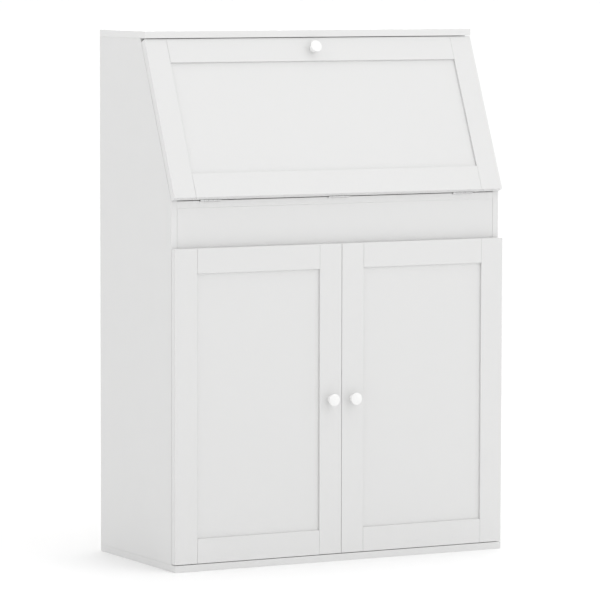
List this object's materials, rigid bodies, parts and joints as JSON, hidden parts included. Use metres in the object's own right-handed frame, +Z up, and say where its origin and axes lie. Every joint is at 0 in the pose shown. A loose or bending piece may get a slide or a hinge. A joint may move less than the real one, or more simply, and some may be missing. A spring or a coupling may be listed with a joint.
{
  "type": "secretary desk",
  "caption": "White secretary desk with framed cabinet doors below and a sloping framed flap that folds down to a writing surface over pigeonholes.",
  "frame": {"origin": "centre of the base board's underside, on the floor", "axes": "+Z up, +X to the right as seen from the front, -Y towards the front"},
  "size_m": [0.8, 0.3916, 1.142],
  "materials": {
    "white_board": "satin white paint on board",
    "hardboard": "white-faced thin hardboard",
    "knob_lacquer": "gloss white lacquer",
    "steel": "nickel-plated steel"
  },
  "bodies": {
    "carcase": {"base_board": "white_board", "top_board": "white_board", "writing_board": "white_board", "apron_panel": "white_board", "left_side_panel": "white_board", "left_front_shelf_pin": "steel", "left_back_shelf_pin": "steel", "right_side_panel": "white_board", "right_front_shelf_pin": "steel", "right_back_shelf_pin": "steel", "cabinet_shelf": "white_board", "hutch_shelf": "white_board", "left_hutch_divider": "white_board", "right_hutch_divider": "white_board", "lower_back_panel": "hardboard", "upper_back_panel": "hardboard", "left_lower_hinge_arm": "steel", "left_upper_hinge_arm": "steel", "right_lower_hinge_arm": "steel", "right_upper_hinge_arm": "steel", "left_stay_stud": "steel", "right_stay_stud": "steel", "flap_left_hinge_fixed_leaf": "steel", "flap_middle_hinge_fixed_leaf": "steel", "flap_right_hinge_fixed_leaf": "steel"},
    "flap": {"flap_left_stile": "white_board", "flap_right_stile": "white_board", "flap_top_rail": "white_board", "flap_bottom_rail": "white_board", "flap_panel": "white_board", "flap_knob": "knob_lacquer", "flap_left_hinge_moving_leaf": "steel", "flap_middle_hinge_moving_leaf": "steel", "flap_right_hinge_moving_leaf": "steel", "left_stay_bracket": "steel", "right_stay_bracket": "steel"},
    "left_door": {"left_door_hinge_stile": "white_board", "left_door_meeting_stile": "white_board", "left_door_top_rail": "white_board", "left_door_bottom_rail": "white_board", "left_door_panel": "white_board", "left_door_knob": "knob_lacquer", "left_lower_hinge_cup": "steel", "left_upper_hinge_cup": "steel"},
    "right_door": {"right_door_hinge_stile": "white_board", "right_door_meeting_stile": "white_board", "right_door_top_rail": "white_board", "right_door_bottom_rail": "white_board", "right_door_panel": "white_board", "right_door_knob": "knob_lacquer", "right_lower_hinge_cup": "steel", "right_upper_hinge_cup": "steel"},
    "left_stay": {"left_stay_arm": "steel"},
    "right_stay": {"right_stay_arm": "steel"},
    "left_hinge_links": {"left_lower_hinge_link": "steel", "left_upper_hinge_link": "steel"},
    "right_hinge_links": {"right_lower_hinge_link": "steel", "right_upper_hinge_link": "steel"}
  },
  "joints": [
    {"name": "flap_hinge", "type": "hinge", "parent": "carcase", "child": "flap", "pos_m": [0, -0.1685, 0.787], "axis": [1, 0, 0], "range_deg": [0, 113.6]},
    {"name": "left_door_hinge", "type": "hinge", "parent": "carcase", "child": "left_door", "pos_m": [-0.396, -0.177, 0.35], "axis": [0, 0, -1], "range_deg": [0, 95]},
    {"name": "right_door_hinge", "type": "hinge", "parent": "carcase", "child": "right_door", "pos_m": [0.396, -0.177, 0.35], "axis": [0, 0, 1], "range_deg": [0, 95]},
    {"name": "left_stay_pivot", "type": "hinge", "parent": "flap", "child": "left_stay", "pos_m": [-0.38, -0.10203, 0.92165], "axis": [1, 0, 0], "range_deg": [-56.8, 0]},
    {"name": "right_stay_pivot", "type": "hinge", "parent": "flap", "child": "right_stay", "pos_m": [0.38, -0.10203, 0.92165], "axis": [1, 0, 0], "range_deg": [-56.8, 0]},
    {"name": "left_hinge_link_pivot", "type": "hinge", "parent": "left_door", "child": "left_hinge_links", "pos_m": [-0.37213, -0.17449, 0.35], "axis": [0, 0, -1], "range_deg": [-47.5, 0]},
    {"name": "right_hinge_link_pivot", "type": "hinge", "parent": "right_door", "child": "right_hinge_links", "pos_m": [0.37213, -0.17449, 0.35], "axis": [0, 0, 1], "range_deg": [-47.5, 0]}
  ],
  "couplings": [
    {"joint": "left_stay_pivot", "follows": "flap_hinge", "ratio": -0.5},
    {"joint": "right_stay_pivot", "follows": "flap_hinge", "ratio": -0.5},
    {"joint": "left_hinge_link_pivot", "follows": "left_door_hinge", "ratio": -0.5},
    {"joint": "right_hinge_link_pivot", "follows": "right_door_hinge", "ratio": -0.5}
  ]
}
